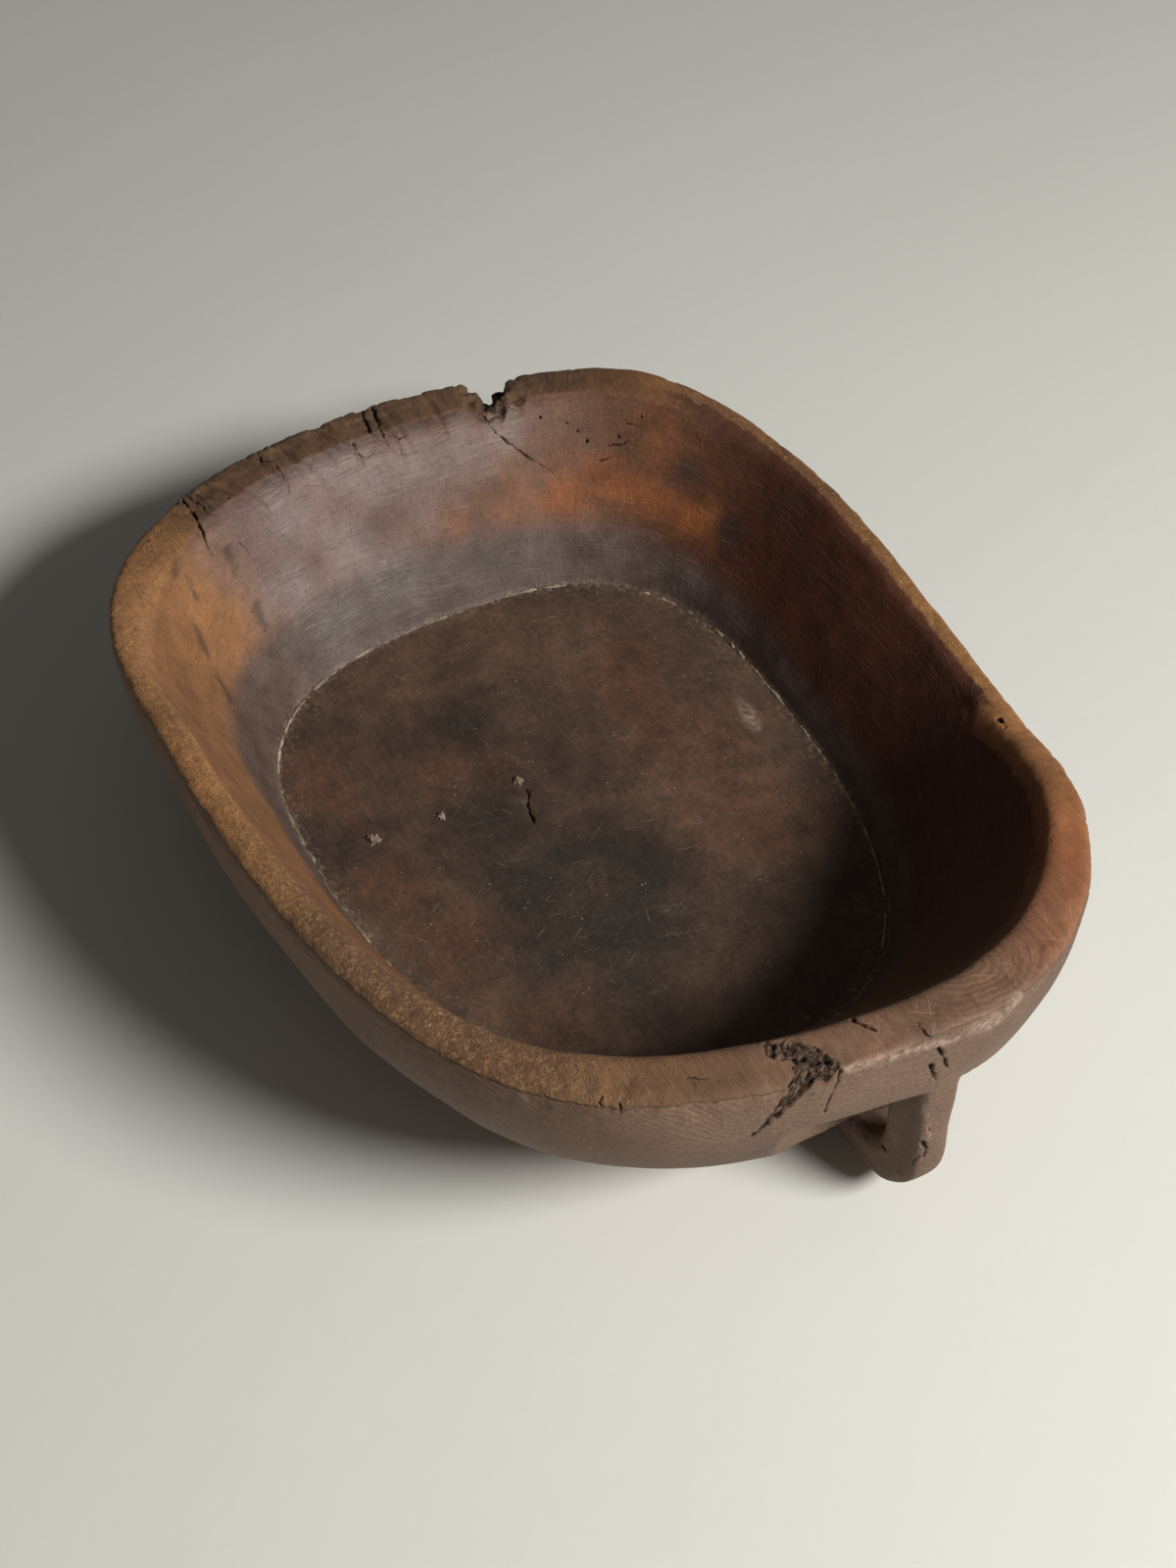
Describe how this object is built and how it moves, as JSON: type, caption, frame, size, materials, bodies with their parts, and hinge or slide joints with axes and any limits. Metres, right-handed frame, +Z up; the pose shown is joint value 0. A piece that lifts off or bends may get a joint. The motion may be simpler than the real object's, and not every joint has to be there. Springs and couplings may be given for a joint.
{
  "type": "dough bowl",
  "caption": "Deep hand-carved wooden dough bowl with a rounded rectangular plan, an uneven rim, a flat floor and a carved loop handle under the lip of one end.",
  "frame": {"origin": "on the ground under the bowl, inside its flat underside and near the middle of its plan", "axes": "+X along the bowl towards the loop handle, +Y across it, +Z up out of the hollow"},
  "size_m": [0.539, 0.4055, 0.1601],
  "materials": {
    "carved_wood": "old, greasy inside and weathered outside",
    "dried_dough": "dry and crumbly"
  },
  "bodies": {
    "root": {"bowl_body": "carved_wood", "loop_handle": "carved_wood", "dough_bead": "dried_dough", "dough_crumb_left": "dried_dough", "dough_crumb_middle": "dried_dough", "dough_crumb_right": "dried_dough"}
  },
  "joints": []
}
